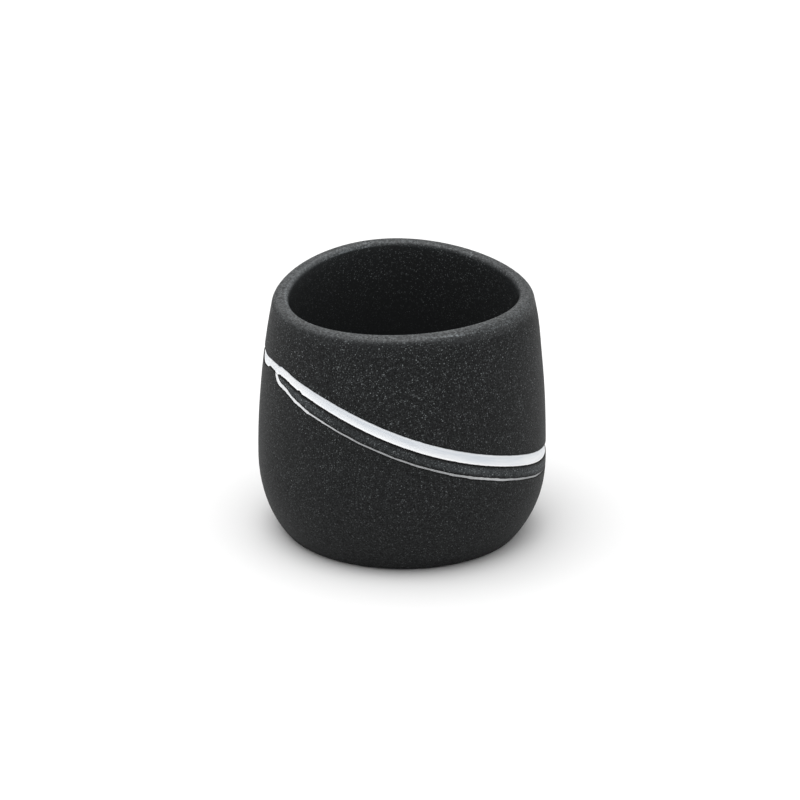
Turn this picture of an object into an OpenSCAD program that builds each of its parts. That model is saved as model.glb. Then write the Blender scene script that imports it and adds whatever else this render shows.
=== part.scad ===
// Cast stone-resin jar with a wavy rolled lip, a slanting enamel band inlaid round
// its wall, a fine enamel line that branches off the band, and a soft pad under the foot.
// The surface the jar stands on is z = 0, and the jar's own axis is Z.

/* [Jar body] */
// widest diameter, across the belly
body_d = 90; // [60:1:130]
// height of the widest place above the foot
belly_h = 24.2; // [16:0.2:34]
// mean height of the rim above the foot
rim_h = 77.8; // [60:0.1:120]
// radius of the long arc from the belly up to the lip
wall_bow_r = 270; // [220:5:600]
// how far the lower curve would draw in if it ran on to its end
turn_in = 20.2; // [12:0.2:26]
// how far below the foot the lower curve would end
turn_below = 6.2; // [4:0.2:14]
// rounding where the side meets the foot
foot_r = 1.9; // [1:0.1:4]
// thickness of the wall, measured square to it
wall_t = 5; // [4:0.1:8]
// thickness of the floor, from the foot to the inside
floor_t = 6.2; // [4.5:0.1:12]
// rounding inside, between the wall and the floor
floor_r = 13; // [6:0.5:18]

/* [Lip] */
// rounding on the outside of the lip
lip_out_r = 2.8; // [1.5:0.1:3.1]
// width of the nearly flat crown between the two roundings
lip_land = 0.7; // [0.3:0.1:1.5]
// how much higher the rim stands on its high side than its mean
rim_tilt = 2.5; // [0:0.1:5]
// where the high side is, turning from +X towards +Y
rim_tilt_dir = 70; // [0:1:359]
// height of the two waves round the rim
rim_wave = 1.28; // [0:0.02:3]
// where the first wave's crest is
rim_wave_dir = 105; // [0:1:179]
// height of the three small ripples round the rim
rim_ripple = 0.2; // [0:0.02:0.8]
// where the first ripple's crest is
rim_ripple_dir = 106; // [0:1:119]

/* [Wide band] */
// width of the band where it is full
band_w = 3.65; // [2.5:0.05:5]
// how much narrower the band is at its highest place
band_pinch = 1.3; // [0:0.05:1.6]
// depth of the groove that the band fills
band_depth = 0.9; // [0.6:0.05:1.6]
// how far the enamel's edges stay below the wall's surface
band_sink = 0.15; // [0.05:0.05:0.3]
// how much further the enamel dips along its middle
band_dish = 0.2; // [0:0.05:0.25]
// the band's highest place, measured down from the mean rim
band_below_rim = 18.5; // [16:0.1:26]
// the band's lowest place, measured up from the foot
band_above_foot = 27.3; // [22:0.1:34]
// where the band is highest
band_dir = 189; // [0:1:359]
// unevenness of the hand-cut groove, four swells to a turn
band_wobble = 0.37; // [0:0.01:0.8]
// where the first swell is
band_wobble_dir = 45; // [0:1:89]

/* [Fine line] */
// width of the line
line_w = 0.7; // [0.5:0.05:1.2]
// depth of its groove
line_depth = 0.5; // [0.3:0.05:0.9]
// distance from the middle of the band down to the line
line_drop = 5.9; // [4.6:0.1:8]
// smallest strip of bare wall left between the band and the line
line_ridge = 0.4; // [0.3:0.05:1]
// where the line leaves the band
line_start = 208; // [0:4:356]
// how far round the jar the line runs
line_turn = 292; // [120:4:320]
// turn in which the line sweeps away from the band
line_sweep = 7; // [4:1:30]

/* [Base pad] */
// thickness of the pad
pad_t = 1.6; // [1:0.1:3]
// how far the pad stands below the foot
pad_proud = 0.2; // [0.2:0.1:0.8]
// gap round the pad inside its recess
pad_gap = 0.5; // [0.2:0.1:1.5]
// width of the foot ring outside the recess
foot_land = 3.2; // [2:0.1:8]

/* [Hidden] */

cols = 90;                      // columns round the jar
step = 360 / cols;
steps_foot = 3;                 // rows in each part of the section
steps_low = 9;
steps_high = 4;
steps_lip_out = 5;
steps_lip_in = 4;
steps_inner = 6;
steps_floor = 6;
settle_n = 6;                   // rounds to place a fillet on a curved wall
pinch_power = 7;                // how local the band's narrow place is
low_crowd = 1.4;                // above 1 crowds the lower rows towards the foot
tail_depth = 0.35;              // share of its depth that the line has at its ends
pad_sides = 180;

body_r = body_d / 2;
turn_h = belly_h + turn_below;
foot_z = pad_proud;
floor_z = floor_t;
lip_in_r = wall_t - lip_out_r - lip_land;
band_mid_h = (rim_h - band_below_rim + band_above_foot) / 2;
band_tilt = (rim_h - band_below_rim - band_above_foot) / 2;
line_near = band_w / 2 + line_ridge + line_w / 2;
line_first = round(line_start / step);
line_cols = round(line_turn / step);

// Outer radius and its slope at a height above the foot.
function bow(h) = sqrt(pow(wall_bow_r, 2) - pow(h - belly_h, 2));
function tuck(h) = sqrt(1 - pow((belly_h - h) / turn_h, 2));
function out_r(h) = h >= belly_h ? body_r - wall_bow_r + bow(h) : body_r - turn_in * (1 - tuck(h));
function out_slope(h) = h >= belly_h
    ? -(h - belly_h) / bow(h)
    : turn_in / pow(turn_h, 2) * (belly_h - h) / tuck(h);
function lean(h) = atan(out_slope(h));

// Radius of the inside, one wall thickness in, square to the wall.
function in_r(h) = out_r(h) - wall_t / cos(lean(h));

// Height at which a fillet on a flat at height f meets the wall.
function seat(h, f, r, n) = n == 0 ? h : seat(f + r * (1 - sin(lean(h))), f, r, n - 1);
foot_h = seat(0, 0, foot_r, settle_n);
inner_h = seat(floor_z + floor_r, floor_z, floor_r, settle_n);
foot_ring_r = out_r(foot_h) - foot_r * cos(lean(foot_h));
recess_r = foot_ring_r - foot_land;
pad_r = recess_r - pad_gap;

// Height of the rim, the band's middle and the line's middle, all above the foot.
function rim(a) = rim_h + rim_tilt * cos(a - rim_tilt_dir) + rim_wave * cos(2 * (a - rim_wave_dir))
    + rim_ripple * cos(3 * (a - rim_ripple_dir));
function band_h(a) = band_mid_h + band_tilt * cos(a - band_dir)
    + band_wobble * cos(4 * (a - band_wobble_dir));
function band_half(a) = (band_w - band_pinch * pow((1 + cos(a - band_dir)) / 2, pinch_power)) / 2;

// The line's own count of columns, which is 0 where it leaves the band.
function line_at(i) = (i - line_first + 2 * cols) % cols;
function line_on(i) = line_at(i) <= line_cols;
function line_end(i) = line_at(i) == 0 || line_at(i) == line_cols;
function line_away(t) = 1 - exp(-t / line_sweep);
function line_gap(i) = line_on(i)
    ? line_near + (line_drop - line_near) * line_away(line_at(i) * step)
        * line_away((line_cols - line_at(i)) * step)
    : line_near;
function line_h(i) = band_h(i * step) - line_gap(i);
function line_d(i) = !line_on(i) ? 0 : line_end(i) ? tail_depth * line_depth : line_depth;

// A place on the outer wall at height h, sunk d into it.
function on_wall(h, d) = [out_r(h) - d * cos(lean(h)), h + d * sin(lean(h))];

// Points of an arc round a centre, from one angle to another.
function arc(c, r, from, to, n) =
    [for (k = [0:n]) c + r * [cos(from + (to - from) * k / n), sin(from + (to - from) * k / n)]];

// Points between two heights on the outer wall, without the ends, crowded towards the first.
function wall_rows(h0, h1, n, crowd) =
    [for (k = [1:n]) on_wall(h0 + (h1 - h0) * pow(k / (n + 1), crowd), 0)];

// The groove of the line and the groove of the band, from the lower edge to the upper one.
function line_groove(i) = let (h = line_h(i), d = line_d(i), w = line_w / 2)
    [on_wall(h - w, 0), on_wall(h - w / 2, d), on_wall(h + w / 2, d), on_wall(h + w, 0)];
function band_floor(i) = let (h = band_h(i * step), w = band_half(i * step), s = band_depth / 3)
    [on_wall(h - w + s, band_depth), on_wall(h, band_depth), on_wall(h + w - s, band_depth)];
function band_edge(i, side) = on_wall(band_h(i * step) + side * band_half(i * step), 0);
function band_brim(i, side) = let (s = band_sink / band_depth, f = band_floor(i))
    band_edge(i, side) * (1 - s) + f[side + 1] * s;

// The outer lip starts where the wall's own lean meets the rounding.
function lip_low(i) = let (h = rim(i * step)) h - lip_out_r * (1 - sin(-lean(h - lip_out_r)));
function lip_outer(i) = let (h = lip_low(i), a = -lean(h))
    arc([out_r(h) - lip_out_r * cos(a), rim(i * step) - lip_out_r], lip_out_r, a, 90, steps_lip_out);
function lip_inner(i) = let (h = rim(i * step) - lip_in_r, a = -lean(h))
    arc([in_r(h) + lip_in_r * cos(a), h], lip_in_r, 90, 180 + a, steps_lip_in);
function inner_rows(i) = let (h1 = rim(i * step) - lip_in_r * (1 + sin(-lean(rim(i * step)))))
    [for (k = [1:steps_inner]) let (h = h1 + (inner_h - h1) * k / (steps_inner + 1)) [in_r(h), h]];

// The whole section of the jar at one column, from the recess round to the middle of the floor.
function section(i) = concat(
    [[recess_r, pad_t - foot_z], [recess_r, 0]],
    arc([foot_ring_r, foot_r], foot_r, -90, -lean(foot_h), steps_foot),
    wall_rows(foot_h, line_h(i) - line_w / 2, steps_low, low_crowd),
    line_groove(i),
    [band_edge(i, -1), band_brim(i, -1)],
    band_floor(i),
    [band_brim(i, 1), band_edge(i, 1)],
    wall_rows(band_edge(i, 1)[1], lip_low(i), steps_high, 1),
    lip_outer(i),
    lip_inner(i),
    inner_rows(i),
    arc([in_r(inner_h) - floor_r * cos(lean(inner_h)), floor_z + floor_r], floor_r,
        -lean(inner_h), -90, steps_floor));

// Turns a list of sections, one for each column, into points in space.
function spin(sections, first) = [for (i = [0:len(sections) - 1]) for (p = sections[i])
    [p[0] * cos((first + i) * step), p[0] * sin((first + i) * step), p[1] + foot_z]];

// Two triangles between neighbouring columns and rows, split along either diagonal.
function patch(a, b, c, d, flip) = flip ? [[a, d, b], [d, c, b]] : [[a, d, c], [a, c, b]];
function skin(n_cols, n_rows, closed_cols, closed_rows, flip) = [
    for (i = [0:n_cols - (closed_cols ? 1 : 2)]) for (k = [0:n_rows - (closed_rows ? 1 : 2)])
        let (j = (i + 1) % n_cols, m = (k + 1) % n_rows)
            each patch(i * n_rows + k, j * n_rows + k, j * n_rows + m, i * n_rows + m, flip)];

module jar_body() {
    sections = [for (i = [0:cols - 1]) section(i)];
    rows = len(sections[0]);
    under = cols * rows;
    inside = under + 1;
    middles = [[0, 0, pad_t], [0, 0, floor_z + foot_z]];
    fans = [for (i = [0:cols - 1]) let (j = (i + 1) % cols)
        each [[under, i * rows, j * rows], [i * rows + rows - 1, inside, j * rows + rows - 1]]];
    color([0.18, 0.19, 0.19])
        polyhedron(points = concat(spin(sections, 0), middles),
                   faces = concat(skin(cols, rows, true, false, false), fans));
}

// The enamel that fills the wide groove: a closed ring with a slightly hollow face.
module wide_band() {
    sections = [for (i = [0:cols - 1])
        concat([band_brim(i, -1), on_wall(band_h(i * step), band_sink + band_dish), band_brim(i, 1)],
               [for (k = [2:-1:0]) band_floor(i)[k]])];
    color([0.90, 0.91, 0.93])
        polyhedron(points = spin(sections, 0),
                   faces = skin(cols, len(sections[0]), true, true, true));
}

// The enamel in the fine groove: a strip flush with the wall and open at both ends.
module thin_line() {
    sections = [for (t = [0:line_cols]) let (g = line_groove((line_first + t) % cols))
        [g[0], g[3], g[2], g[1]]];
    rows = len(sections[0]);
    last = line_cols * rows;
    ends = [[0, 2, 1], [0, 3, 2], [last, last + 1, last + 2], [last, last + 2, last + 3]];
    color([0.72, 0.73, 0.75])
        polyhedron(points = spin(sections, line_first),
                   faces = concat(skin(line_cols + 1, rows, false, true, true), ends));
}

// The soft pad, stuck to the ceiling of the recess.
module base_pad() {
    color([0.10, 0.10, 0.11])
        cylinder(r = pad_r, h = pad_t, $fn = pad_sides);
}

jar_body();
wide_band();
thin_line();
base_pad();
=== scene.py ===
"""Cast stone-resin jar: a dark speckled vessel with a wavy rolled lip, a dished white enamel
band and a fine branching line inlaid round its wall, and a foam pad under the foot.

Run as a script inside Blender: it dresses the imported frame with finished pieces."""
import math

import bpy
import numpy as np
from bpy.props import FloatProperty, FloatVectorProperty, IntProperty, PointerProperty
from mathutils import Matrix, Vector


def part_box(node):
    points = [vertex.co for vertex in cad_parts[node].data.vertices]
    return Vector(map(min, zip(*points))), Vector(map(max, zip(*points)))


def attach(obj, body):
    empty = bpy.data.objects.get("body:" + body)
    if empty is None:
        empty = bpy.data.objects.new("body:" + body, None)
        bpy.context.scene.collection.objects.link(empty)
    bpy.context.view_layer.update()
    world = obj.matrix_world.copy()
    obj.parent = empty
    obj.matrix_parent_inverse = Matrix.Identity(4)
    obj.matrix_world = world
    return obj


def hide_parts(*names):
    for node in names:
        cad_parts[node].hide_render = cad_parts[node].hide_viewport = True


bl_info = {
    "name": "Stone-resin jar",
    "version": (1, 0, 0),
    "blender": (4, 5, 0),
    "location": "View3D > Sidebar > Jar",
    "description": "Casts a speckled stone-resin jar inlaid with enamel",
    "category": "Object",
}

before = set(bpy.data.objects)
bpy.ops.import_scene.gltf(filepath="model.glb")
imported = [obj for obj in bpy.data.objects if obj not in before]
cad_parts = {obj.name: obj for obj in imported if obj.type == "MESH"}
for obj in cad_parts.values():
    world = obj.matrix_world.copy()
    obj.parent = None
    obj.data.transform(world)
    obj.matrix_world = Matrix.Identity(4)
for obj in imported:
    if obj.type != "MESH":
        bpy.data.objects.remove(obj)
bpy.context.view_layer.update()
PAD_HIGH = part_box("base_pad")[1]
FOOT_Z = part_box("jar_body")[0].z
MM = 0.001
DEG = math.pi / 180
FULL_TURN = 2 * math.pi


# ---- sizes and colours

def length(name, description, mm):
    """A length, given in millimetres."""
    return FloatProperty(name=name, description=description, default=mm * MM,
                         unit="LENGTH", subtype="DISTANCE")


def angle(name, description, degrees):
    """An angle, given in degrees."""
    return FloatProperty(name=name, description=description, default=degrees * DEG,
                         unit="ROTATION", subtype="ANGLE")


def tint(name, description, red, green, blue):
    """A colour in linear light."""
    return FloatVectorProperty(name=name, description=description, size=3,
                               default=(red, green, blue), subtype="COLOR", min=0, max=1)


def level(name, description, brightness):
    """A brightness of the light tent, where one is white."""
    return FloatProperty(name=name, description=description, default=brightness, min=0, max=5)


class JarSizes(bpy.types.PropertyGroup):
    """Sizes of the cast shell."""
    body_d: length("Belly width", "Widest diameter, across the belly", 90)
    belly_h: length("Belly height", "Height of the widest place above the foot", 24.2)
    rim_h: length("Rim height", "Mean height of the rim above the foot", 77.8)
    wall_bow_r: length("Wall bow", "Radius of the arc from the belly to the lip", 270)
    turn_in: length("Turn in", "How far the lower curve would draw in", 20.2)
    turn_below: length("Turn below", "How far below the foot that curve ends", 6.2)
    foot_r: length("Foot rounding", "Rounding where the side meets the foot", 1.9)
    foot_land: length("Foot ring", "Width of the ring round the pad's recess", 3.2)
    wall_t: length("Wall", "Thickness of the wall, square to it", 5)
    floor_t: length("Floor", "Thickness of the floor above the foot", 6.2)
    floor_r: length("Inner rounding", "Rounding between wall and floor, inside", 13)
    lip_out_r: length("Outer lip", "Rounding on the outside of the lip", 2.8)
    lip_land: length("Lip crown", "Width of the crown between the roundings", 0.7)
    rim_tilt: length("Rim tilt", "Rise of the rim on its high side", 2.5)
    rim_tilt_dir: angle("Tilt side", "Where the rim is high", 70)
    rim_wave: length("Rim wave", "Height of the two waves round the rim", 1.28)
    rim_wave_dir: angle("Wave side", "Where the first wave's crest is", 105)
    rim_ripple: length("Rim ripple", "Height of the three small ripples", 0.2)
    rim_ripple_dir: angle("Ripple side", "Where the first ripple's crest is", 106)
    unevenness: length("Unevenness", "Depth of the slow swells of the cast skin", 0.05)
    columns: IntProperty(name="Columns", description="Columns of the grid round the jar",
                         default=600, min=90, max=900)


class InlaySizes(bpy.types.PropertyGroup):
    """Sizes of the two grooves and the enamel in them."""
    band_w: length("Band width", "Width of the band where it is full", 3.98)
    band_pinch: length("Band pinch", "How much narrower it is at the top", 1.3)
    band_below_rim: length("Band below rim", "Its highest place below the rim", 18.5)
    band_above_foot: length("Band above foot", "Its lowest place above the foot", 27.3)
    band_dir: angle("Band side", "Where the band is highest", 189)
    band_wobble: length("Band wobble", "Unevenness of the hand-cut groove", 0.37)
    band_wobble_dir: angle("Wobble side", "Where its first swell is", 45)
    band_depth: length("Band depth", "Depth of the wide groove", 0.75)
    band_dish: length("Band dish", "How far the enamel dips along its middle", 0.55)
    line_w: length("Line width", "Width of the fine line along its run", 0.77)
    line_root_w: length("Line root", "Extra width where it leaves the band", 0.76)
    line_depth: length("Line depth", "Depth of the fine groove", 0.4)
    line_drop: length("Line drop", "Distance from the band down to the line", 6.05)
    line_start: angle("Line start", "Where the line leaves the band", 209.5)
    line_turn: angle("Line run", "How far round the jar the line runs", 290)
    line_sweep: angle("Line sweep", "Turn in which it sweeps away", 9)
    seam: length("Seam", "Open crack between the enamel and the stone", 0.34)
    # The dark rim beside a groove is painted shade on the stone; this width also places its rows
    rim_w: length("Stained rim", "Dark rim of stone beside a groove", 0.29)


class Finishes(bpy.types.PropertyGroup):
    """Colours of the finishes, in linear light."""
    stone: tint("Stone", "Ground of the stone resin", 0.0090, 0.0096, 0.0099)
    fleck: tint("Flecks", "Pale mineral flecks", 0.185, 0.20, 0.205)
    # Worn stone on the lip, with painted top light in it; brightened, it also paints the lip's
    # glints
    rubbed_and_lit: tint("Rubbed stone", "Stone where the lip is rubbed",
                 0.044, 0.049, 0.052)
    # Painted light: the inside is painted paler than the outer ground, as light falling in through
    # the mouth
    inside: tint("Inside", "Unrubbed stone inside", 0.0245, 0.0262, 0.0270)
    enamel: tint("Enamel", "White enamel", 0.81, 0.825, 0.84)
    pearl: tint("Pearl", "Pearl streaks in the enamel", 0.60, 0.645, 0.70)
    foam: tint("Foam", "Foam of the pad", 0.012, 0.012, 0.013)
    floor: tint("Floor", "Table top", 0.77, 0.77, 0.77)


class StageLights(bpy.types.PropertyGroup):
    """Lights and camera."""
    tent_front: level("Tent front", "Brightness before the jar", 0.74)
    tent_back: level("Tent back", "Brightness behind the jar", 0.86)
    tent_horizon: level("Tent horizon", "Brightness low down behind the jar", 0.35)
    tent_top: level("Tent top", "Brightness added towards the top", 0.2)
    tent_left: level("Tent left", "Brightness added towards the left", 0.08)
    overhead: FloatProperty(name="Overhead", description="Power of the soft light above",
                            default=18.0, min=0, max=200, unit="POWER")
    lens: FloatProperty(name="Lens", description="Focal length of the camera's lens",
                        default=144.45, unit="CAMERA")
    distance: length("Distance", "From the camera to the jar's middle", 1000)
    elevation: angle("Elevation", "How far the camera looks down", 22)
    roll: angle("Roll", "Turn of the camera about its own view", 0.507)


# ---- curves of the jar

def wall_curves(h, s):
    """Two curves at height h: the long arc's, which is the root of its radius squared less the
    height above the belly squared, and the lower one's, which is a quarter ellipse, the root of
    one less the square of the share of the way down to its end."""
    h = np.asarray(h, float)
    bow = np.sqrt(s.wall_bow_r ** 2 - (h - s.belly_h) ** 2)
    share = (s.belly_h - h) / (s.belly_h + s.turn_below)
    return bow, np.sqrt(np.maximum(1 - share ** 2, 1e-9))


def out_r(h, s):
    """Outer radius at height h: half the belly width, less the drop of the long arc above the
    belly, or less the drop of the quarter ellipse below it."""
    bow, tuck = wall_curves(h, s)
    return s.body_d / 2 - np.where(h >= s.belly_h, s.wall_bow_r - bow, s.turn_in * (1 - tuck))


def lean(h, s):
    """Angle of the outer wall from upright at height h: the arctangent of the radius's slope."""
    bow, tuck = wall_curves(h, s)
    above = h - s.belly_h
    low_slope = -s.turn_in / (s.belly_h + s.turn_below) ** 2 * above / tuck
    return np.arctan(np.where(h >= s.belly_h, -above / bow, low_slope))


def in_r(h, s):
    """Inner radius at height h: one wall thickness in, measured square to the wall."""
    return out_r(h, s) - s.wall_t / np.cos(lean(h, s))


def seat(flat, radius, s, rounds=8):
    """Height where a fillet that stands on a flat meets the leaning wall, by repeated substitution:
    the flat's height plus the radius times one less the sine of the lean there."""
    h = flat
    for _ in range(rounds):
        h = flat + radius * (1 - np.sin(lean(h, s)))
    return h


def rim(a, s):
    """Rim height at angle a: the mean plus one tilt, two waves and three ripples to a turn."""
    return (s.rim_h + s.rim_tilt * np.cos(a - s.rim_tilt_dir)
            + s.rim_wave * np.cos(2 * (a - s.rim_wave_dir))
            + s.rim_ripple * np.cos(3 * (a - s.rim_ripple_dir)))


def bell(x, centre, width):
    """A bell curve of height one."""
    return np.exp(-((x - centre) / width) ** 2)


def bump(a, centre, width):
    """A smooth swell of height one round the jar, its centre and width in degrees: the
    bell curve of the shortest turn from its centre."""
    turn = np.angle(np.exp(1j * (a - centre * DEG)))
    return bell(turn, 0, width * DEG)


def swells(a, marks):
    """A sum of swells round the jar, each given as its size, its centre and its width."""
    return sum(size * bump(a, centre, width) for size, centre, width in marks)


def fade_out(x, middle, soft):
    """A soft step from one to zero: the logistic curve, half of one less a hyperbolic tangent."""
    return (1 - np.tanh((x - middle) / (2 * soft))) / 2


def jitter(a, waves, seed):
    """Unevenness of a hand-held tool, about one in size: equal sines of whole-number waves to a
    turn, with phases from a seeded draw."""
    phase = np.random.default_rng(seed).uniform(0, FULL_TURN, len(waves))
    return np.sin(np.outer(waves, a) + phase[:, None]).sum(0) / math.sqrt(len(waves))


# Where the cutter drifted or slipped: size in millimetres, then centre and width in degrees.
BAND_DRIFT = ((0.45, 213.5, 5), (-0.75, 192, 8), (-0.20, 342, 15), (-0.18, 300, 30))
BAND_SAG = 0.12 * MM
BAND_LOW_SLIPS = ((0.24, 199.2, 1.8), (-0.30, 195.2, 1.3), (-1.15, 189, 7), (0.42, 223.7, 0.9),
                  (-0.14, 225.8, 0.8), (0.12, 217, 3))
BAND_HIGH_SLIPS = ((0.20, 210.4, 1.0), (-0.14, 208.2, 0.8))
BAND_PINCH_POWER = 7
LINE_DRIFT = ((-0.12, 228, 2), (-1.25, 209.5, 4.4))
# Where the line is fuller than its running width, as shares of its root's extra width.
LINE_FULLER = ((0.35, 228, 1.6), (0.40, 303, 20))
LINE_LEAD = 12 * DEG
LINE_JOIN = 3.75 * MM


def band_mid(a, s, n):
    """Height of the band's middle: a tilted ring between its high and low places, four small
    swells to a turn, and the slow drifts of a hand-cut groove."""
    high, low = s.rim_h - n.band_below_rim, n.band_above_foot
    return ((high + low) / 2 - BAND_SAG + (high - low) / 2 * np.cos(a - n.band_dir)
            + n.band_wobble * np.cos(4 * (a - n.band_wobble_dir)) + swells(a, BAND_DRIFT) * MM)


def band_edges(a, s, n):
    """Lower and upper edge of the wide groove: the middle less and plus half its width, which
    narrows by a high power of a raised cosine, with a few nicks where the tool slipped."""
    pinch = ((1 + np.cos(a - n.band_dir)) / 2) ** BAND_PINCH_POWER
    half = (n.band_w - n.band_pinch * pinch) / 2
    mid = band_mid(a, s, n)
    ragged = 0.028 + 0.05 * bump(a, 214, 14)
    low = ragged * jitter(a, [41, 67, 97, 149, 223, 331], 3) + swells(a, BAND_LOW_SLIPS)
    high = 0.028 * jitter(a, [37, 59, 83, 131, 211], 5) + swells(a, BAND_HIGH_SLIPS)
    return mid - half + low * MM, mid + half + high * MM


def line_edges(a, s, n):
    """Lower and upper edge of the fine line, and how far along it each angle is. Its middle hangs
    below the band by a drop that it reaches by an exponential sweep at both ends; its width is the
    running width plus the root's, which fades by a logistic step."""
    t = (a - n.line_start + LINE_LEAD) % FULL_TURN - LINE_LEAD
    back = n.line_turn - t
    drop = n.line_drop - LINE_JOIN * (np.exp(-t / n.line_sweep) + np.exp(-back / n.line_sweep))
    fuller = (fade_out(t, 16 * DEG, 3.2 * DEG)
              + 0.6 * fade_out(back, 14 * DEG, 3 * DEG) + swells(a, LINE_FULLER))
    width = (n.line_w + n.line_root_w * fuller) * (1 + 0.10 * jitter(a, [29, 53, 89, 137], 11))
    width = width + 0.85 * MM * bump(a, 207, 3.2)
    wander = 0.05 * jitter(a, [17, 31, 47], 13) + swells(a, LINE_DRIFT)
    mid = band_mid(a, s, n) - drop + wander * MM
    return mid - width / 2, mid + width / 2, t


def column_angles(s):
    """Angles of the grid's columns: even, but about three times closer round the place where the
    line branches off, found by inverting the running sum of the wanted density."""
    fine = np.linspace(0, FULL_TURN, 7201)
    density = 1 + 2.4 * bump(fine, 212, 22)
    run = np.concatenate([[0], np.cumsum((density[1:] + density[:-1]) / 2)])
    return np.interp(np.arange(s.columns) / s.columns * run[-1], run, fine)


# ---- grids

WELD_GAP = 1e-7     # points in the same step of this size are joined


def on_wall(h, d, s):
    """Points at height h on the outer wall, sunk d square to it: radius and height."""
    h, d = np.broadcast_arrays(np.asarray(h, float), np.asarray(d, float))
    tilt = lean(h, s)
    return np.stack([out_r(h, s) - d * np.cos(tilt), h + d * np.sin(tilt)], -1)


def arc_rows(r0, h0, radius, start, stop, n):
    """Rows along an arc round a centre, from one angle to another, ends included."""
    f = np.linspace(0, 1, n)[:, None]
    a = np.asarray(start) * (1 - f) + np.asarray(stop) * f
    return np.stack([r0 + radius * np.cos(a), h0 + radius * np.sin(a)], -1)


def wall_rows(h0, h1, n, s, crowd=1.0):
    """Rows between two heights on the outer wall, ends left out, crowded towards the first by a
    power of the share of the way."""
    f = (np.arange(1, n + 1) / (n + 1))[:, None] ** crowd
    return on_wall(h0 + (h1 - h0) * f, 0, s)


def flat_rings(radii, heights, ones):
    """Level rings, one row to each radius and height."""
    radii, heights = np.broadcast_arrays(radii, heights)
    return np.stack([radii[:, None] * ones, heights[:, None] * ones], -1)


def spin(rows, a, lift):
    """Turns rows of radius and height, one column to each angle, into points in space."""
    r, h = rows[..., 0], rows[..., 1]
    return np.stack([r * np.cos(a), r * np.sin(a), h + lift], -1)


def grid_faces(n_rows, n_cols, closed_rows, closed_cols):
    """Four-cornered faces between neighbouring rows and columns, facing away from the side on
    which rows run clockwise."""
    k = np.arange(n_rows if closed_rows else n_rows - 1)[:, None]
    i = np.arange(n_cols if closed_cols else n_cols - 1)[None, :]
    m, j = (k + 1) % n_rows, (i + 1) % n_cols
    corners = (k * n_cols + i, k * n_cols + j, m * n_cols + j, m * n_cols + i)
    return np.stack(np.broadcast_arrays(*corners), -1).reshape(-1, 4)


def split(quads):
    """Two triangles to each four-cornered face."""
    return np.concatenate([quads[:, [0, 1, 2]], quads[:, [0, 2, 3]]])


def fan(centre, ring):
    """Triangles from one point to a closed ring of points, facing against the ring's turn."""
    return np.stack([np.full(len(ring), centre), np.roll(ring, -1), ring], -1)


def weld(points, tris):
    """Joins points that fall together and drops faces that shrank to a line. Gives the triangles
    left and which points were kept."""
    key = np.round(points / WELD_GAP).astype(np.int64)
    _, keep, where = np.unique(key, axis=0, return_index=True, return_inverse=True)
    t = where.reshape(-1)[tris]
    good = (t[:, 0] != t[:, 1]) & (t[:, 1] != t[:, 2]) & (t[:, 2] != t[:, 0])
    return t[good], keep


def make_piece(name, points, faces, values=None, uv=None):
    """Puts points and faces, as arrays, into a new smooth mesh object."""
    mesh = bpy.data.meshes.new(name)
    size = faces.shape[1]
    mesh.vertices.add(len(points))
    mesh.vertices.foreach_set("co", points.astype(np.float32).ravel())
    mesh.loops.add(faces.size)
    mesh.loops.foreach_set("vertex_index", faces.astype(np.int32).ravel())
    mesh.polygons.add(len(faces))
    mesh.polygons.foreach_set("loop_start", np.arange(0, faces.size, size, dtype=np.int32))
    mesh.polygons.foreach_set("use_smooth", np.ones(len(faces), bool))
    for label, array in (values or {}).items():
        layer = mesh.attributes.new(label, "FLOAT", "POINT")
        layer.data.foreach_set("value", array.astype(np.float32))
    if uv is not None:
        layer = mesh.uv_layers.new(name="inlay_map")
        layer.data.foreach_set("uv", uv[faces.ravel()].astype(np.float32).ravel())
    mesh.update(calc_edges=True)
    if mesh.validate():
        raise RuntimeError(f"{name}: the mesh had to be repaired")
    piece = bpy.data.objects.new(name, mesh)
    bpy.context.scene.collection.objects.link(piece)
    return piece


def make_turned(name, grid, low_pole, high_pole, values=None):
    """A closed piece from a grid of points whose first and last rows ring the axis. Each is closed
    by a fan to a point on the axis. Values have the two poles' own at the end."""
    n_rows, n_cols = grid.shape[:2]
    points = np.concatenate([grid.reshape(-1, 3), [[0, 0, low_pole], [0, 0, high_pole]]])
    first = np.arange(n_cols)
    last = first + (n_rows - 1) * n_cols
    tris = np.concatenate([split(grid_faces(n_rows, n_cols, False, True)),
                           fan(n_rows * n_cols, first), fan(n_rows * n_cols + 1, last)[:, ::-1]])
    tris, keep = weld(points, tris)
    values = {label: value[keep] for label, value in (values or {}).items()}
    return make_piece(name, points[keep], tris, values)


# ---- the shell

# How much painted shade each row of a groove has, from the rim below it to the rim above.
BAND_SEAM_SHADE = [0] + [1] * 11 + [0]
LINE_SEAM_SHADE = [0, 0.65] + [1] * 9 + [0.65, 0]
# How dusted each row of the strip between the grooves is.
STRIP_DUST = [0.6, 1, 1, 1, 1, 0.6]
# Where round the jar it is dusted, where the lip's wear and painted top light are dimmer, and
# where its painted glints lie: size, centre, width.
DUST_MARKS = ((0.9, 220, 12), (0.58, 300, 14), (0.58, 337, 12))
LIP_DIMMING = ((-0.36, 80, 60), (-0.24, 5, 34), (0.08, 270, 30))
LIP_GLINTS = ((0.8, 293, 9), (0.4, 313, 16))
# Waves of the cast skin: how many to a turn, their turn to a metre of height, and their start.
SKIN_WAVES = ((5, 130, 0), (8, -90, 1.3), (3, 210, 4.1))
# Its broad swells: size, centre and width round the jar, height and width up it.
SKIN_SWELLS = ((0.45, 352, 26, 69, 8), (0.28, 350, 30, 13, 8))
HOLLOW = ("inner lip", "inner wall", "floor rounding", "floor")
HOLLOW_EXTRA = 0.55 * MM
NARROWEST = 0.02 * MM


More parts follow.
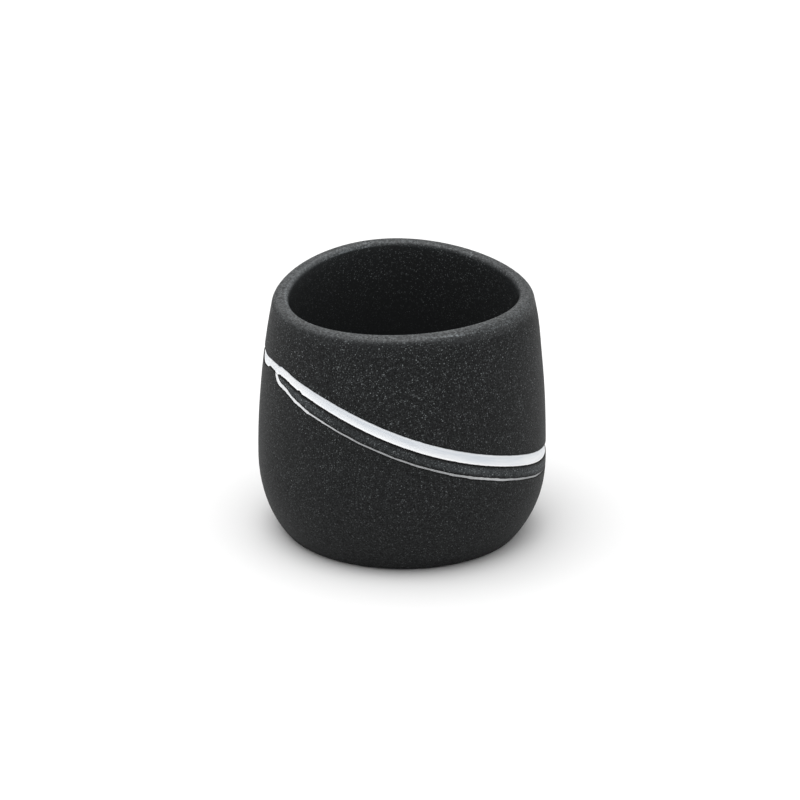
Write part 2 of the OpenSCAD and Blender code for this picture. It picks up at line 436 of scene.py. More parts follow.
def groove_rows(low, high, depth, seam, below, above, s):
    """Rows of one groove: the rim below it, which carries painted shade, its worn edge, a steep
    side, a flat floor, and the same again to the rim above. Where the groove has no width, the rows
    between the rims all fall on the same place."""
    width = high - low
    side = np.minimum(seam * 0.5, width / 6)
    deep = np.minimum(depth, width * 0.8)
    steps = [(low - below, 0), (low - below * 0.6, 0), (low, 0), (low + side * 0.5, 0.25),
             (low + side, 0.8), (low + side * 2, 1), ((low + high) / 2, 1), (high - side * 2, 1),
             (high - side, 0.8), (high - side * 0.5, 0.25), (high, 0), (high + above * 0.6, 0),
             (high + above, 0)]
    return np.stack([on_wall(h, deep * f, s) for h, f in steps])


def line_groove_edges(a, band_low, s, n):
    """Edges of the fine groove: the line's own, kept below the band's lower edge. Both lie on that
    edge where the line has ended or is too narrow to cut."""
    low, high, t = line_edges(a, s, n)
    high = np.minimum(high, band_low)
    low = np.minimum(low, high)
    uncut = (t > n.line_turn + 4 * DEG) | (high - low < NARROWEST)
    return np.where(uncut, band_low, low), np.where(uncut, band_low, high)


def shell_rows(a, s, n):
    """The shell's whole section at every angle, from the middle of the recess outwards, up the
    wall, over the lip and down inside to the middle of the floor, as rows by part."""
    ones = np.ones_like(a)
    upright = math.pi / 2 * ones
    foot_h, inner_h = seat(0.0, s.foot_r, s), seat(s.floor_t, s.floor_r, s)
    ring_r = out_r(foot_h, s) - s.foot_r * np.cos(lean(foot_h, s))
    turn_r = in_r(inner_h, s) - s.floor_r * np.cos(lean(inner_h, s))
    recess_r = ring_r - s.foot_land
    recess_h = PAD_HIGH.z - FOOT_Z
    band_low, band_high = band_edges(a, s, n)
    low, high = line_groove_edges(a, band_low, s, n)
    rim_w = n.rim_w
    inner_rim = np.minimum(rim_w, (band_low - high) / 2.6)
    top = rim(a, s)
    lip_in_r = s.wall_t - s.lip_out_r - s.lip_land
    lip_low = top - s.lip_out_r * (1 - np.sin(-lean(top - s.lip_out_r, s)))
    tilt, tilt_in = -lean(lip_low, s), -lean(top - lip_in_r, s)
    crown_r = out_r(lip_low, s) - s.lip_out_r * np.cos(tilt)
    inner_crown_r = in_r(top - lip_in_r, s) + lip_in_r * np.cos(tilt_in)
    start = top - lip_in_r * (1 + np.sin(tilt_in))
    h = start + (inner_h - start) * (np.arange(1, 21) / 21)[:, None]
    return {
        "recess": flat_rings(np.linspace(0.02, 1, 7) * recess_r, recess_h, ones),
        "recess side": flat_rings(recess_r, np.array([0.9, 0.5, 0.12]) * recess_h, ones),
        "foot": flat_rings(recess_r + np.array([0.12, 1.2, 2.4]) * MM, 0, ones),
        "foot rounding": arc_rows(ring_r, s.foot_r, s.foot_r, -upright,
                                  -lean(foot_h, s) * ones, 9),
        "low wall": wall_rows(foot_h, low - rim_w, 22, s, 1.25),
        "line groove": groove_rows(low, high, n.line_depth, n.seam, rim_w, inner_rim, s),
        "strip": wall_rows(high + inner_rim, band_low - inner_rim, 6, s),
        "band groove": groove_rows(band_low, band_high, n.band_depth, n.seam, inner_rim, rim_w, s),
        "high wall": wall_rows(band_high + rim_w, lip_low, 18, s),
        "outer lip": arc_rows(crown_r, top - s.lip_out_r, s.lip_out_r, tilt, upright, 14),
        "inner lip": arc_rows(inner_crown_r, top - lip_in_r, lip_in_r, upright,
                              math.pi + tilt_in, 10),
        "inner wall": np.stack([in_r(h, s), h], -1),
        "floor rounding": arc_rows(turn_r, s.floor_t + s.floor_r, s.floor_r,
                                   -lean(inner_h, s) * ones, -upright, 13),
        "floor": flat_rings(np.linspace(0.94, 0.02, 8) * turn_r, s.floor_t, ones),
    }


def lip_wear_and_light(a, drop, inside):
    """How worn the stone is, together with painted top light, from its drop below the rim in
    millimetres. A logistic step at the worn and lit edge, dimmer towards the back and the right,
    and a squared tail down the shoulder; then painted glints, which are bells along the lip's outer
    and inner edge, and a short fade of painted light inside."""
    front, side, back = bump(a, 312, 28), bump(a, 2, 38), bump(a, 120, 25)
    edge = np.where(inside, 0.8 + 0.7 * back - 0.6 * side, 1.0 + 1.8 * front)
    soft = np.where(inside, 0.13 - 0.03 * side, 0.13 + 0.4 * front)
    crest = (1 + swells(a, LIP_DIMMING)) * fade_out(drop, edge, soft)
    crest = crest * np.where(inside, 1, 1 - 0.2 * np.clip(drop, 0, 1) * (1 - front))
    shoulder = 0.42 + 0.45 * bump(a, 342, 24) * np.clip(drop, 0, 1)
    # the worn crest with its painted top light, and a tail of both down the shoulder
    rubbed_and_lit = 0.6 * crest + shoulder * np.clip(1 - drop / 6, 0, 1) ** 2
    # painted glints: one along the inner edge here, one along the outer edge below
    painted_glint_in = 0.9 * bell(drop, 1.1, 0.35) * bump(a, 118, 18)
    # painted light falling in just below the inner edge
    painted_light_in = 0.25 * np.exp(-np.clip(drop - 0.8, 0, 40) / 1.6)
    glint_h = 0.85 + 0.025 * (np.degrees(a) - 296)
    painted_glint_out = bell(drop, glint_h, 0.2) * swells(a, LIP_GLINTS)
    return rubbed_and_lit + np.where(inside, painted_glint_in + painted_light_in, painted_glint_out)


def cast_skin(rows, a, s):
    """Slow swells of the cast skin: three crossing waves, and two broad bells on one side, at the
    shoulder and near the foot; all fade out at the foot so that it stands flat."""
    h = rows[..., 1]
    waves = sum(np.sin(k * a + climb * h + start) for k, climb, start in SKIN_WAVES)
    broad = sum(size * bump(a, centre, width) * bell(h / MM, at, tall)
                for size, centre, width, at, tall in SKIN_SWELLS)
    return (s.unevenness * waves / 3 + broad * MM) * np.clip(h / (6 * MM), 0, 1)


def on_jar(rows, a, s):
    """Points in space for rows of the jar, with the swells of the cast skin added."""
    rows[..., 0] += cast_skin(rows, a, s)
    return spin(rows, a, FOOT_Z)


def build_shell(s, n):
    """The stone shell. Its points carry the painted shade beside the seams, how worn and how dusted
    it is, with the lip's painted top light and glints, and where the inside and the painted light
    on the inside's left side are. On one side the hollow is a little wider, by a bell round the jar
    times a bell down from the rim."""
    a = column_angles(s)
    parts = shell_rows(a, s, n)
    rows = np.concatenate(list(parts.values()))
    part = np.repeat(list(parts), [len(p) for p in parts.values()])
    hollow = np.isin(part, HOLLOW)[:, None]
    inside = hollow.copy()
    inside[np.argmax(hollow)] = False
    # painted shade beside the seams, and dust on the strip between the grooves
    seam_shadow, dust = np.zeros((2, len(rows), 1))
    seam_shadow[part == "line groove", 0] = LINE_SEAM_SHADE
    seam_shadow[part == "band groove", 0] = BAND_SEAM_SHADE
    dust[part == "strip", 0] = STRIP_DUST
    drop = (rim(a, s) - rows[..., 1]) / MM
    rows[..., 0] += hollow * HOLLOW_EXTRA * bump(a, 348, 34) * bell(drop, 0, 20)
    values = {
        "seam_shade": seam_shadow * np.ones_like(a),
        # the lip's wear, together with its painted top light and painted glints
        "rubbed_and_lit": lip_wear_and_light(a, drop, inside),
        "inner": inside * np.clip(drop / 2, 0, 1),
        "dusted": dust * np.clip(0.42 + swells(a, DUST_MARKS), 0, 1),
        # painted light on the inside's left side, strongest just below the rim
        "painted_light_left_inside": inside * bump(a, 155, 50) * (0.20 + 0.6 * np.exp(-np.clip(drop, 0, 80) / 3)),
    }
    values = {label: np.append(value, [0, label == "inner"]) for label, value in values.items()}
    return make_turned("stone_shell", on_jar(rows, a, s), PAD_HIGH.z, s.floor_t + FOOT_Z, values)


# ---- the enamel

MAP_R = 0.044       # radius at which the strips' maps are true to length
RUN_ON = 6 * DEG    # turn by which the line runs on under the band at each end
LINE_END = 2.5 * DEG        # turn in which each end sinks
LINE_LAP = 0.45 * MM        # how far it laps over the seam into the band
LINE_THINNEST = 0.15 * MM
LINE_FILL = ((0.32, 308, 10), (-1.2, 348, 6))   # where its groove is fuller and emptier
NEAR_COLUMNS, FAR_COLUMNS = 260, 520            # near its root, and along the rest
PAD_COLUMNS = 240


def bead_rows(low, high, sink, dish, depth, seam, s, n_face):
    """Rows of one enamel strip: out of the seam, over a rounded shoulder, across a dished face,
    over the other shoulder, and back along the groove's floor. The face's depth is the sink plus
    the dish times one less the square of the place across it. Also gives that place, 0 to 1."""
    mid, half = (low + high) / 2, (high - low) / 2
    gap = np.minimum(seam, half * 0.35)
    face_h = mid + (half - gap) * np.sin(np.linspace(-1, 1, n_face)[:, None] * math.pi / 2)
    across = (face_h - mid) / np.maximum(half, 1e-9)
    shoulder = sink + (depth - sink) * 0.35
    rows = [on_wall(low + gap * 0.45, depth * 0.9, s), on_wall(low + gap * 0.6, shoulder, s),
            *on_wall(face_h, sink + dish * (1 - across ** 2), s),
            on_wall(high - gap * 0.6, shoulder, s), on_wall(high - gap * 0.45, depth * 0.9, s),
            on_wall(mid, depth, s)]
    return np.stack(rows), np.array([0, 0.02, *np.linspace(0.04, 0.96, n_face), 0.98, 1, 0.5])


def strip_map(a, place):
    """Map of a strip: arc length along it in metres, and the place across it from 0 to 1."""
    along, across = np.broadcast_arrays(a * MAP_R, place[:, None])
    return np.stack([along, across], -1).reshape(-1, 2)


def build_band(s, n):
    """The wide band as a closed ring of enamel."""
    a = column_angles(s)
    low, high = band_edges(a, s, n)
    brush = np.abs(0.03 * jitter(a, [7, 13, 23], 21))
    sink = (0.07 + brush) * MM
    rows, place = bead_rows(low, high, sink, n.band_dish, n.band_depth, n.seam, s, n_face=17)
    points = on_jar(rows, a, s).reshape(-1, 3)
    faces = grid_faces(*rows.shape[:2], True, True)
    return make_piece("band_enamel", points, faces, None, strip_map(a, place))


def build_line(s, n):
    """The fine line as a strip of enamel that starts and ends under the band's. Where no bare
    stone is left between them it laps over the seam into the band. Its points carry how full of
    enamel the groove is: one at the root, falling by a logistic step."""
    root_turn = 40 * DEG
    near = np.linspace(0, root_turn, NEAR_COLUMNS, endpoint=False)
    far = np.linspace(root_turn, n.line_turn + 2 * RUN_ON, FAR_COLUMNS)
    a = n.line_start - RUN_ON + np.concatenate([near, far])
    low, high, t = line_edges(a, s, n)
    band_low, _ = band_edges(a, s, n)
    lap = np.clip((high - band_low) / (0.1 * MM) + 1, 0, 1)
    high = np.minimum(high, band_low) + lap * LINE_LAP
    low = np.minimum(low, high - LINE_THINNEST)
    to_end = np.minimum(t, n.line_turn - t) + RUN_ON
    ends = np.clip(to_end / LINE_END, 0, 1)
    sink = (0.05 + 0.10 * (1 - lap) + 0.3 * (1 - ends)) * MM
    rows, place = bead_rows(low, high, sink, 0.04 * MM, n.line_depth, n.seam * 0.6, s, n_face=7)
    grid = on_jar(rows, a, s)
    n_rows, n_cols = rows.shape[:2]
    points = np.concatenate([grid.reshape(-1, 3), grid[:, [0, -1]].mean(0)])
    first = np.arange(n_rows) * n_cols
    last = first + n_cols - 1
    tris = np.concatenate([split(grid_faces(n_rows, n_cols, True, False)),
                           fan(n_rows * n_cols, first)[:, ::-1], fan(n_rows * n_cols + 1, last)])
    uv = np.concatenate([strip_map(a, place), [[a[0] * MAP_R, 0.5], [a[-1] * MAP_R, 0.5]]])
    full = fade_out(t, 26 * DEG, 6 * DEG)
    full = np.clip(full + swells(a, LINE_FILL), -1, 1)
    full = np.append(np.broadcast_to(full, rows.shape[:2]), [full[0], full[-1]])
    return make_piece("line_enamel", points, tris, {"fill": full}, uv)


def build_pad(*_):
    """The foam pad, which takes its size from the frame alone: a disc whose cut edge is rounded
    over above and below, and whose underside is drawn in by a shallow press mark near its edge,
    the bell curve of the share of its radius."""
    radius, thick = PAD_HIGH.x, PAD_HIGH.z
    edge = 0.25 * MM
    ones = np.ones(PAD_COLUMNS)
    under = np.linspace(0.02, 0.985, 34)
    rows = np.concatenate([
        flat_rings(radius * under, 0.04 * MM * bell(under, 0.93, 0.015), ones),
        arc_rows(radius - edge, edge, edge, -math.pi / 2 * ones, 0 * ones, 6),
        arc_rows(radius - edge, thick - edge, edge, 0 * ones, math.pi / 2 * ones, 6),
        flat_rings(radius * np.array([0.9, 0.6, 0.3, 0.02]), thick, ones)])
    a = np.linspace(0, FULL_TURN, len(ones), endpoint=False)
    return make_turned("foam_pad", spin(rows, a, 0.0), 0, thick)


# ---- laying out nodes

def plug(tree, socket, value):
    """Feeds a socket from another socket, or sets its value."""
    if isinstance(value, bpy.types.NodeSocket):
        tree.links.new(value, socket)
    else:
        socket.default_value = value


def node(tree, kind, settings=None, **inputs):
    """A new node with its settings and its input values or links, by socket name. An underscore in
    a name stands for a space."""
    made = tree.nodes.new("ShaderNode" + kind)
    for label, value in (settings or {}).items():
        setattr(made, label, value)
    for label, value in inputs.items():
        plug(tree, made.inputs[label.replace("_", " ")], value)
    return made


def maths(tree, operation, *values, clamp=False):
    """One sum of one, two or three values."""
    made = node(tree, "Math", {"operation": operation, "use_clamp": clamp})
    for socket, value in zip(made.inputs, values):
        plug(tree, socket, value)
    return made.outputs[0]


def times(tree, a, b, clamp=False):
    """The product of two values."""
    return maths(tree, "MULTIPLY", a, b, clamp=clamp)


def ramp(tree, value, low, high, to_low=0.0, to_high=1.0):
    """A clamped straight ramp of a value from one range to another."""
    made = node(tree, "MapRange", {"clamp": True}, Value=value, From_Min=low,
                From_Max=high, To_Min=to_low, To_Max=to_high)
    return made.outputs[0]


def mix(tree, share, a, b):
    """One colour laid over another by a share."""
    made = node(tree, "Mix", {"data_type": "RGBA"})
    for socket, value in ((0, share), (6, a), (7, b)):
        plug(tree, made.inputs[socket], value)
    return made.outputs[2]


def noise(tree, vector, scale, detail, **more):
    """Noise at a scale, about one half in size."""
    made = node(tree, "TexNoise", None, Vector=vector, Scale=scale, Detail=detail, **more)
    return made.outputs[0]


def attribute(tree, label):
    """A value that the piece's points carry."""
    return node(tree, "Attribute", {"attribute_name": label}).outputs["Fac"]


def parts_of(tree, vector):
    """The three parts of a vector."""
    return node(tree, "SeparateXYZ", None, Vector=vector).outputs


def place_on(tree, kind="Object"):
    """Where a point is, in the piece's own coordinates."""
    return tree.nodes.new("ShaderNodeTexCoord").outputs[kind]


def shade(colour, factor=1.0):
    """A colour made lighter or darker, with full cover."""
    return (*(v * factor for v in colour), 1.0)


def new_finish(name, **constants):
    """A new material and its Principled shader, with constant values set on its sockets."""
    finish = bpy.data.materials.new(name)
    finish.use_nodes = True
    shader = finish.node_tree.nodes["Principled BSDF"]
    for label, value in constants.items():
        shader.inputs[label.replace("_", " ")].default_value = value
    return finish, finish.node_tree, shader


def dress(tree, shader, colour, rough, height=None, strength=0.0, distance=0.0):
    """Feeds a shader's colour and roughness, and its normal from a relief's height."""
    tree.links.new(colour, shader.inputs["Base Color"])
    tree.links.new(rough, shader.inputs["Roughness"])
    if height is not None:
        bumps = node(tree, "Bump", None, Height=height, Strength=strength,
                     Distance=distance)
        tree.links.new(bumps.outputs[0], shader.inputs["Normal"])


# ---- shared effects

def flecks(tree, given):
    """Mineral flecks: round cells scattered at random. A cell is a fleck when its own draw is under
    the amount; its size and its brightness are two more draws of the same cell."""
    cells = node(tree, "TexVoronoi", {"feature": "F1"}, Vector=given["Vector"],
                 Scale=given["Scale"])
    draws = node(tree, "SeparateColor", None, Color=cells.outputs["Color"]).outputs
    wide = maths(tree, "MULTIPLY_ADD", draws[0], 0.6, 0.4)
    radius = times(tree, wide, given["Size"])
    disc = ramp(tree, cells.outputs["Distance"], times(tree, radius, 0.45), radius, 1.0, 0.0)
    chosen = maths(tree, "LESS_THAN", draws[1], given["Amount"])
    bright = maths(tree, "MULTIPLY_ADD", draws[2], 0.75, 0.25)
    return {"Mask": times(tree, times(tree, disc, chosen), bright)}


def casting_grain(tree, given):
    """Fine grain of a rubbed casting: a value that wanders about one half at the grain's own scale,
    and a height of the same with a little of a finer one."""
    coarse = noise(tree, given["Vector"], given["Scale"], given["Detail"], Roughness=0.6)
    fine = noise(tree, given["Vector"], times(tree, given["Scale"], 2.7), 1.0)
    return {"Value": coarse, "Height": maths(tree, "MULTIPLY_ADD", fine, 0.35, coarse)}


def brush_streaks(tree, given):
    """Brush streaks along a strip: noise stretched along the strip and packed across it, read from
    the strip's own map, in a broad and a fine layer."""
    x, y, _ = parts_of(tree, given["Map"])
    place = node(tree, "CombineXYZ", None, X=times(tree, x, given["Along"]),
                 Y=times(tree, y, given["Across"])).outputs[0]
    return {"Broad": noise(tree, place, 1.0, 2.0),
            "Fine": noise(tree, place, 4.3, 3.0, Roughness=0.65)}


def rubbing(tree, given):
    """Scratches worn round the jar: noise in four directions, which are the cosine and the sine
    of the turn (slow), and the radius and the height (fast), so that it closes on itself."""
    x, y, z = parts_of(tree, given["Vector"])
    square = maths(tree, "MULTIPLY_ADD", x, x, times(tree, y, y))
    radius = maths(tree, "SQRT", square)
    slow = maths(tree, "DIVIDE", given["Along"], radius)
    place = node(tree, "CombineXYZ", None, X=times(tree, x, slow), Y=times(tree, y, slow),
                 Z=times(tree, radius, given["Across"]))
    made = node(tree, "TexNoise", {"noise_dimensions": "4D"}, Vector=place.outputs[0],
                W=times(tree, z, given["Across"]), Scale=1.0, Detail=2.0, Roughness=0.6)
    return {"Value": made.outputs[0]}


# Each shared effect: what lays out its nodes, and its inputs' defaults, None for a vector.
EFFECTS = {
    "mineral flecks": (flecks, {"Vector": None, "Scale": 2000.0, "Amount": 0.3, "Size": 0.4}),
    "casting grain": (casting_grain, {"Vector": None, "Scale": 1500.0, "Detail": 3.0}),
    "brush streaks": (brush_streaks, {"Map": None, "Along": 60.0, "Across": 3.0}),
    "rubbing scratches": (rubbing, {"Vector": None, "Along": 30.0, "Across": 2500.0}),
}


def new_group(name):
    """The node group of a shared effect."""
    lay_out, defaults = EFFECTS[name]
    group = bpy.data.node_groups.new(name, "ShaderNodeTree")
    for label, default in defaults.items():
        kind = "NodeSocketVector" if default is None else "NodeSocketFloat"
        socket = group.interface.new_socket(label, in_out="INPUT", socket_type=kind)
        if default is not None:
            socket.default_value = default
    given, out = group.nodes.new("NodeGroupInput"), group.nodes.new("NodeGroupOutput")
    for label, value in lay_out(group, given.outputs).items():
        group.interface.new_socket(label, in_out="OUTPUT", socket_type="NodeSocketFloat")
        group.links.new(value, out.inputs[label])
    return group


def use_group(tree, name, **inputs):
    """One use of a shared effect, with its own values. Its group is built when first asked for."""
    group = bpy.data.node_groups.get(name) or new_group(name)
    return node(tree, "Group", {"node_tree": group}, **inputs).outputs


# ---- finishes

def stone_finish(c):
    """Black stone resin: grain and dark pits in the ground colour, two sizes of whitish fleck that
    fade towards the foot as painted top light, a matt skin that is worn paler and glossier on the
    lip with painted top light and glints, an inside painted paler as painted light falling in
    through the mouth, a dusted strip between the grooves, and painted shade along the enamel seams."""
    finish, tree, shader = new_finish("speckled stone resin", Specular_IOR_Level=0.115, IOR=1.5,
                                      Coat_Roughness=0.45)
    coords = place_on(tree)
    height = parts_of(tree, coords)[2]
    small, large, pit = (
        use_group(tree, "mineral flecks", Vector=coords, Scale=scale, Amount=amount, Size=size)[0]
        for scale, amount, size in ((2700, 0.38, 0.60), (2000, 0.19, 0.52), (2150, 0.45, 0.66)))
    grain = use_group(tree, "casting grain", Vector=coords, Scale=2200.0, Detail=2.0)
    coarse = use_group(tree, "casting grain", Vector=coords, Scale=1250.0, Detail=2.0)
    rub = use_group(tree, "rubbing scratches", Vector=coords, Along=26.0, Across=2300.0)["Value"]
    cloud = noise(tree, coords, 60.0, 2.0)
    inner, dusted, painted_light_left_inside = (attribute(tree, label) for label in ("inner", "dusted", "painted_light_left_inside"))

    # rubbing spares the pits and the low places of the coarse grain
    spared = maths(tree, "SUBTRACT", 1.0, times(tree, pit, 0.9))
    spared = times(tree, spared, ramp(tree, coarse["Value"], 0.38, 0.60, 0.45, 1.1))
    bare = times(tree, attribute(tree, "rubbed_and_lit"), spared)
    worn = maths(tree, "MINIMUM", bare, 1.0)

    # flecks fade downwards as painted top light, and in clouds; the dusted strip has more
    fleck_light_inside = ramp(tree, height, 0.050, 0.078, 0.35, 1.7)
    fleck_light_and_dust = times(tree, ramp(tree, height, 0.010, 0.060, 0.45, 1.0),
                 ramp(tree, inner, 0.0, 1.0, 1.0, fleck_light_inside))
    fleck_light_and_dust = maths(tree, "MULTIPLY_ADD", dusted, 0.8, fleck_light_and_dust)
    share = times(tree, fleck_light_and_dust, ramp(tree, cloud, 0.32, 0.68, 0.80, 1.12))
    both = maths(tree, "MAXIMUM", times(tree, small, 0.60), times(tree, large, 0.95))
    fleck = times(tree, both, share, clamp=True)

    dark, light = shade(c.stone, 0.22), shade(c.stone, 2.0)
    dust = times(tree, dusted, ramp(tree, grain["Value"], 0.36, 0.64, 0.2, 0.8))
    scratch = times(tree, worn, ramp(tree, rub, 0.34, 0.66, 0.05, 1.0))
    colour = mix(tree, ramp(tree, grain["Value"], 0.33, 0.67), dark, light)
    layers = (
        (times(tree, pit, 0.8), dark),
        # painted light: the inside painted paler than the outer stone
        (times(tree, inner, 0.8), shade(c.inside)),
        (dust, shade(c.rubbed_and_lit, 1.5)),
        # painted light on the inside's left side
        (painted_light_left_inside, shade(c.inside, 2.2)),
        (scratch, shade(c.rubbed_and_lit)),
        # painted glints, where the lip's mask runs high
        (ramp(tree, bare, 0.95, 1.75, 0.0, 0.9), shade(c.rubbed_and_lit, 3.4)),
        (fleck, mix(tree, dusted, shade(c.fleck), shade(c.fleck, 1.4))),
        # painted shade in the stone along the enamel seams
        (times(tree, attribute(tree, "seam_shade"), 0.97), shade((0.002,) * 3)),
    )
    for cover, layer in layers:
        colour = mix(tree, cover, colour, layer)
    rough = ramp(tree, grain["Value"], 0.3, 0.7, 0.66, 0.54)
    rough = maths(tree, "MULTIPLY_ADD", worn, -0.18, rough)
    tree.links.new(ramp(tree, worn, 0.05, 0.95, 0.0, 0.62), shader.inputs["Coat Weight"])
    relief = maths(tree, "MULTIPLY_ADD", fleck, 0.5, grain["Height"])
    relief = maths(tree, "MULTIPLY_ADD", times(tree, rub, worn), 1.2, relief)
    relief = maths(tree, "MULTIPLY_ADD", pit, -0.7, relief)
    dress(tree, shader, colour, rough, relief, 0.55, 0.09 * MM)
    return finish


def inlay_map(tree):
    """The strip's own map."""
    return node(tree, "UVMap", {"uv_map": "inlay_map"}).outputs[0]


def band_finish(c):
    """White enamel laid by brush: pearl-grey streaks along it, stronger in its upper half, a whiter
    lower edge that is a painted highlight, a greyer upper edge and dark lines at both edges that
    are painted shade, and fine brush relief under a soft gloss."""
    finish, tree, shader = new_finish("streaked white enamel", Specular_IOR_Level=0.5, IOR=1.5,
                                      Coat_Weight=0.25, Coat_Roughness=0.18)
    place = inlay_map(tree)
    across = parts_of(tree, place)[1]
    streaks = use_group(tree, "brush streaks", Map=place, Along=45.0, Across=2.6)
    broad = ramp(tree, streaks["Broad"], 0.40, 0.66)
    fine = ramp(tree, streaks["Fine"], 0.45, 0.75)
    share = maths(tree, "MULTIPLY_ADD", fine, 0.35, times(tree, broad, 0.9))
    share = times(tree, share, ramp(tree, across, 0.10, 0.60, 0.40, 0.85), clamp=True)
    # painted highlight: the lower edge, which faces up to the light, is painted whiter
    thick = ramp(tree, across, 0.26, 0.10, 0.0, 0.9)
    # painted shade: the upper edge, which faces down, is painted greyer
    upper_edge_shade = ramp(tree, across, 0.80, 0.95, 0.0, 0.55)
    # painted shade: a dark line along both edges of the enamel
    edge = maths(tree, "MAXIMUM", ramp(tree, across, 0.975, 0.99), ramp(tree, across, 0.025, 0.01))
    colour = mix(tree, share, shade(c.enamel), shade(c.pearl))
    colour = mix(tree, thick, colour, shade((0.96,) * 3))
    colour = mix(tree, upper_edge_shade, colour, shade(c.pearl, 0.85))
    colour = mix(tree, times(tree, edge, 0.95), colour, shade((0.01, 0.01, 0.011)))
    rough = ramp(tree, streaks["Fine"], 0.3, 0.7, 0.30, 0.46)
    dress(tree, shader, colour, rough, streaks["Fine"], 0.35, 0.05 * MM)
    return finish


def line_finish(c):
    """Thin enamel in the fine groove: white where it leaves the band, then worn so that grey
    stone shows through it along its run."""
    finish, tree, shader = new_finish("worn line enamel", Specular_IOR_Level=0.4, IOR=1.5)
    streaks = use_group(tree, "brush streaks", Map=inlay_map(tree), Along=160.0, Across=1.6)
    fill = attribute(tree, "fill")
    full = times(tree, ramp(tree, fill, 0.0, 1.0, 0.40, 1.0), ramp(tree, fill, -0.9, 0.0))
    cover = times(tree, full, ramp(tree, streaks["Fine"], 0.35, 0.65, 0.78, 1.2), clamp=True)
    colour = mix(tree, cover, shade((0.05, 0.052, 0.055)), shade(c.enamel))
    rough = ramp(tree, cover, 0.3, 1.0, 0.6, 0.38)
    dress(tree, shader, colour, rough, streaks["Fine"], 0.4, 0.04 * MM)
    return finish


def foam_finish(c):
    """Closed-cell foam: fine pits over a slightly clouded black."""
    finish, tree, shader = new_finish("closed-cell foam", Specular_IOR_Level=0.25, IOR=1.5)
    coords = place_on(tree)
    pits = use_group(tree, "mineral flecks", Vector=coords, Scale=1700.0, Amount=0.8, Size=0.55)
    grain = use_group(tree, "casting grain", Vector=coords, Scale=500.0, Detail=2.0)
    colour = mix(tree, ramp(tree, grain["Value"], 0.3, 0.7), shade(c.foam, 0.5),
                        shade(c.foam, 1.9))
    rough = ramp(tree, grain["Value"], 0.3, 0.7, 0.75, 0.9)
    depth = maths(tree, "SUBTRACT", grain["Height"], pits["Mask"])
    dress(tree, shader, colour, rough, depth, 0.5, 0.12 * MM)
    return finish


def table_finish(c):
    """A plain pale table top with the faintest clouding."""
    finish, tree, shader = new_finish("pale table", Specular_IOR_Level=0.1)
    cloud = noise(tree, place_on(tree), 5.0, 2.0)
    colour = mix(tree, cloud, shade(c.floor, 0.985), shade(c.floor))
    dress(tree, shader, colour, ramp(tree, cloud, 0.3, 0.7, 0.8, 0.9))
    return finish


def set_piece(scene, build, finish, cad_node):
    """Builds a piece and gives it its finish and its place in the frame."""
    piece = build(scene.jar_sizes, scene.jar_inlay)
    piece.data.materials.append(finish(scene.jar_finishes))
    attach(piece, "root")
    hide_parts(cad_node)


# ---- the stage

TABLE_REACH = 4.0
SOFTBOX_SIZE = 1.4
SOFTBOX_PLACE = Vector((-0.15, -0.1, 1.5))
CAMERA_SHIFT = (-0.0030, 0.0036)
SENSOR_WIDTH = 36.0
AIM_H = 40 * MM


def lay_table(c):
    """The table top: one flat square at the height that the jar stands on."""
    corners = np.array([[-1, -1, 0], [1, -1, 0], [1, 1, 0], [-1, 1, 0]]) * TABLE_REACH
    table = make_piece("table", corners, np.array([[0, 1, 2, 3]]))
    table.data.materials.append(table_finish(c))


def hang_tent(scene, stage):
    """The light tent: a white world whose brightness is one value before the jar and another
    behind it, lower at the rear horizon, and a little more towards the top and the left."""
    world = bpy.data.worlds.new("light tent")
    world.use_nodes = True
    tree = world.node_tree
    x, y, z = parts_of(tree, place_on(tree, "Generated"))
    rear = ramp(tree, z, 0.05, 0.40, stage.tent_horizon, stage.tent_back)
    sides = ramp(tree, y, -0.5, 0.8, stage.tent_front, rear)
    glow = maths(tree, "ADD", sides, ramp(tree, z, 0.0, 1.0, 0.0, stage.tent_top))
    glow = maths(tree, "ADD", glow, ramp(tree, x, 0.0, -1.0, 0.0, stage.tent_left))
    background = tree.nodes["Background"]
    background.inputs["Color"].default_value = (1, 1, 1, 1)
    tree.links.new(glow, background.inputs["Strength"])
    scene.world = world


def hang_softbox(scene, stage):
    """A large square light above the jar, turned towards it."""
    lamp = bpy.data.lights.new("overhead softbox", "AREA")
    lamp.shape = "SQUARE"
    lamp.size = SOFTBOX_SIZE
    lamp.energy = stage.overhead
    box = bpy.data.objects.new("overhead softbox", lamp)
    box.location = SOFTBOX_PLACE
    box.rotation_euler = (-SOFTBOX_PLACE).to_track_quat("-Z", "Y").to_euler()
    scene.collection.objects.link(box)


def place_camera(scene, stage):
    """The camera in front of the jar, looking down at its middle."""
    data = bpy.data.cameras.new("camera")
    data.sensor_width = SENSOR_WIDTH
    data.lens = stage.lens
    data.shift_x, data.shift_y = CAMERA_SHIFT
    data.clip_start, data.clip_end = 0.05, 20.0
    camera = bpy.data.objects.new("camera", data)
    away = Vector((0, -math.cos(stage.elevation), math.sin(stage.elevation)))
    look = (-away).to_track_quat("-Z", "Y").to_matrix().to_4x4()
    place = Vector((0, 0, AIM_H + FOOT_Z)) + away * stage.distance
    camera.matrix_world = Matrix.Translation(place) @ look @ Matrix.Rotation(stage.roll, 4, "Z")
    scene.collection.objects.link(camera)
    scene.camera = camera
    scene.view_settings.view_transform = "Standard"


# ---- operators

class JAR_OT_shell(bpy.types.Operator):
    """Cast the stone shell with its two grooves"""
    bl_idname = "jar.cast_shell"
    bl_label = "Cast shell"

    def execute(self, context):
        set_piece(context.scene, build_shell, stone_finish, "jar_body")
        return {"FINISHED"}


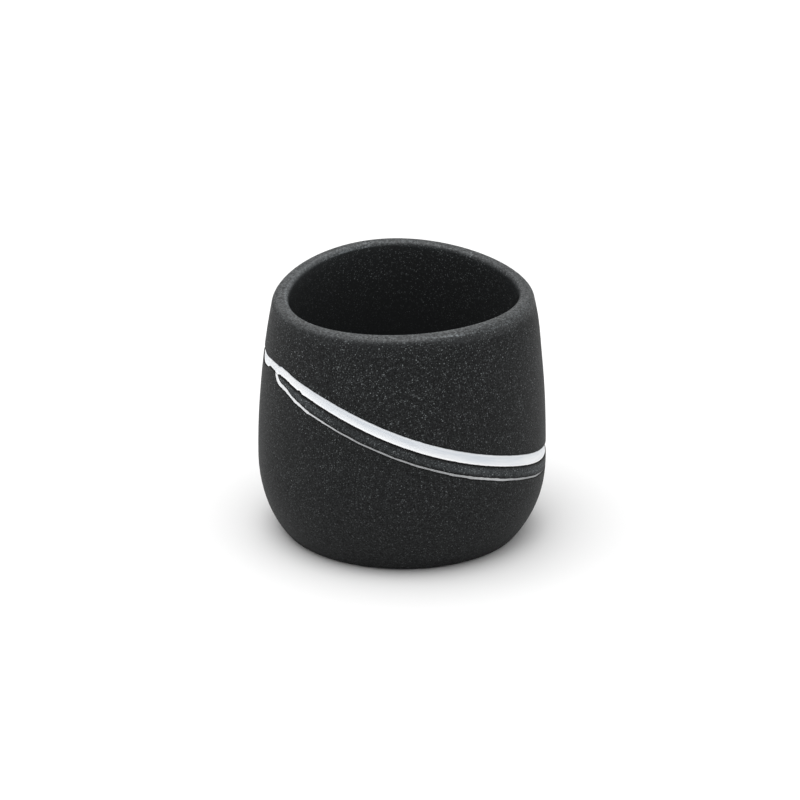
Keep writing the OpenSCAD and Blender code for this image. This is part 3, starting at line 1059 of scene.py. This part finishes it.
class JAR_OT_band(bpy.types.Operator):
    """Fill the wide groove with white enamel"""
    bl_idname = "jar.fill_band"
    bl_label = "Fill band"

    def execute(self, context):
        set_piece(context.scene, build_band, band_finish, "wide_band")
        return {"FINISHED"}


class JAR_OT_line(bpy.types.Operator):
    """Draw the fine enamel line that branches off the band"""
    bl_idname = "jar.draw_line"
    bl_label = "Draw fine line"

    def execute(self, context):
        set_piece(context.scene, build_line, line_finish, "thin_line")
        return {"FINISHED"}


class JAR_OT_pad(bpy.types.Operator):
    """Stick the foam pad under the foot"""
    bl_idname = "jar.stick_pad"
    bl_label = "Stick base pad"

    def execute(self, context):
        set_piece(context.scene, build_pad, foam_finish, "base_pad")
        return {"FINISHED"}


class JAR_OT_stage(bpy.types.Operator):
    """Set the pale table, the soft light tent and the camera"""
    bl_idname = "jar.set_stage"
    bl_label = "Set stage"

    def execute(self, context):
        scene = context.scene
        lay_table(scene.jar_finishes)
        hang_tent(scene, scene.jar_stage)
        hang_softbox(scene, scene.jar_stage)
        place_camera(scene, scene.jar_stage)
        return {"FINISHED"}


class JAR_PT_panel(bpy.types.Panel):
    """Buttons for each piece of the jar and for the stage"""
    bl_idname = "JAR_PT_panel"
    bl_label = "Stone-resin jar"
    bl_space_type = "VIEW_3D"
    bl_region_type = "UI"
    bl_category = "Jar"

    def draw(self, context):
        for operator in OPERATORS:
            self.layout.operator(operator.bl_idname)
        for name in GROUPS:
            group = getattr(context.scene, name)
            box = self.layout.box()
            for label in group.bl_rna.properties.keys():
                if label not in ("rna_type", "name"):
                    box.prop(group, label)


GROUPS = {"jar_sizes": JarSizes, "jar_inlay": InlaySizes, "jar_finishes": Finishes,
          "jar_stage": StageLights}
OPERATORS = (JAR_OT_shell, JAR_OT_band, JAR_OT_line, JAR_OT_pad, JAR_OT_stage)


def register():
    """Registers the groups, the operators and the panel."""
    for name, group in GROUPS.items():
        bpy.utils.register_class(group)
        setattr(bpy.types.Scene, name, PointerProperty(type=group))
    for cls in (*OPERATORS, JAR_PT_panel):
        bpy.utils.register_class(cls)


def unregister():
    """Takes them away again."""
    for cls in reversed((*OPERATORS, JAR_PT_panel)):
        bpy.utils.unregister_class(cls)
    for name, group in reversed(GROUPS.items()):
        delattr(bpy.types.Scene, name)
        bpy.utils.unregister_class(group)


def main():
    """Makes every piece and the stage in order."""
    register()
    bpy.ops.jar.cast_shell()
    bpy.ops.jar.fill_band()
    bpy.ops.jar.draw_line()
    bpy.ops.jar.stick_pad()
    bpy.ops.jar.set_stage()


if __name__ == "__main__":
    main()
